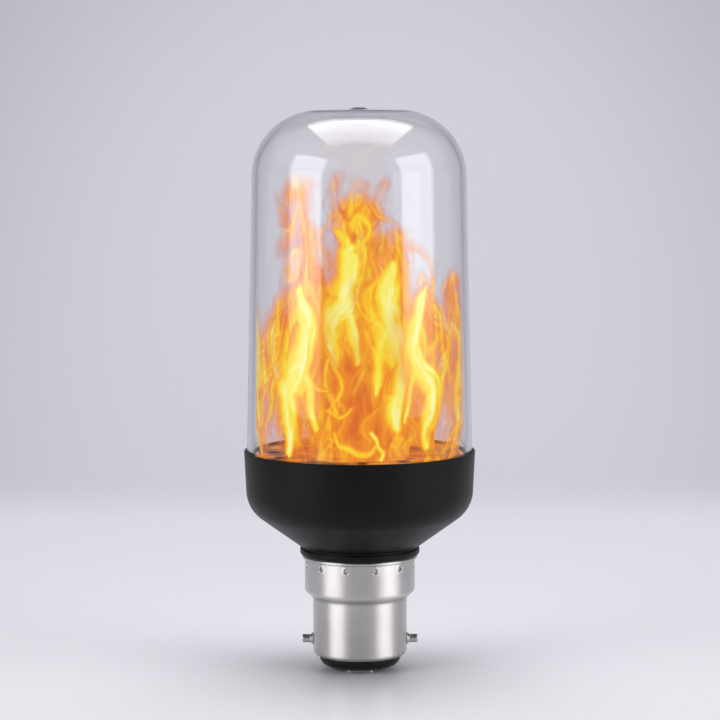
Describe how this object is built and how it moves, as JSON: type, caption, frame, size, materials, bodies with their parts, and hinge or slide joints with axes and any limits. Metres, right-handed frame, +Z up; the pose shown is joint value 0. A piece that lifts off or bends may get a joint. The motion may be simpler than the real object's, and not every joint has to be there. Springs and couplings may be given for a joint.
{
  "type": "flame effect led bulb",
  "caption": "Tall clear domed lamp bulb with glowing flame films inside, a black bowl base and a bayonet cap.",
  "frame": {"origin": "centre of the plane of the two base contacts, on the bulb's axis", "axes": "+Z up along the bulb's axis from the contacts to the dome; the bayonet pins lie along X; the front is -Y"},
  "size_m": [0.054, 0.054, 0.1316],
  "materials": {
    "clear_plastic": "clear gloss",
    "printed_film": "clear with printed amber flames",
    "black_plastic": "fine satin",
    "gloss_black_plastic": "gloss",
    "insulator_black": "gloss",
    "plated_cap": "nickel plated, satin",
    "plated_pin": "nickel plated, bright",
    "contact_brass": "plain",
    "red_wire": "satin",
    "black_wire": "satin",
    "white_board": "white solder mask",
    "light_chip": "phosphor",
    "screw_steel": "plated",
    "green_board": "solder mask",
    "can_sleeve": "sleeve",
    "tape_yellow": "tape",
    "film_capacitor_red": "dipped",
    "resistor_body": "lacquer",
    "sensor_can": "plain",
    "chip_black": "moulded",
    "connector_white": "moulded"
  },
  "bodies": {
    "root": {"base_housing": "black_plastic", "bayonet_pin_left": "plated_pin", "bayonet_pin_right": "plated_pin", "board_connector": "connector_white", "board_screw_1": "screw_steel", "board_screw_2": "screw_steel", "board_screw_3": "screw_steel", "bridge_rectifier": "chip_black", "cap_insulator": "insulator_black", "cap_shell": "plated_cap", "clear_cover": "clear_plastic", "contact_front": "contact_brass", "contact_rear": "contact_brass", "controller_chip": "chip_black", "deck_plate": "gloss_black_plastic", "driver_board": "green_board", "film_capacitor": "film_capacitor_red", "flame_film_inner": "printed_film", "flame_film_middle": "printed_film", "flame_film_outer": "printed_film", "fusible_resistor": "resistor_body", "inner_light_01": "light_chip", "inner_light_02": "light_chip", "inner_light_03": "light_chip", "inner_light_04": "light_chip", "inner_light_05": "light_chip", "inner_light_06": "light_chip", "light_board": "white_board", "live_wire": "red_wire", "neutral_wire": "black_wire", "outer_light_01": "light_chip", "outer_light_02": "light_chip", "outer_light_03": "light_chip", "outer_light_04": "light_chip", "outer_light_05": "light_chip", "outer_light_06": "light_chip", "outer_light_07": "light_chip", "outer_light_08": "light_chip", "outer_light_09": "light_chip", "outer_light_10": "light_chip", "outer_light_11": "light_chip", "outer_light_12": "light_chip", "reservoir_capacitor": "can_sleeve", "tilt_sensor": "sensor_can", "transformer": "tape_yellow"}
  },
  "joints": []
}
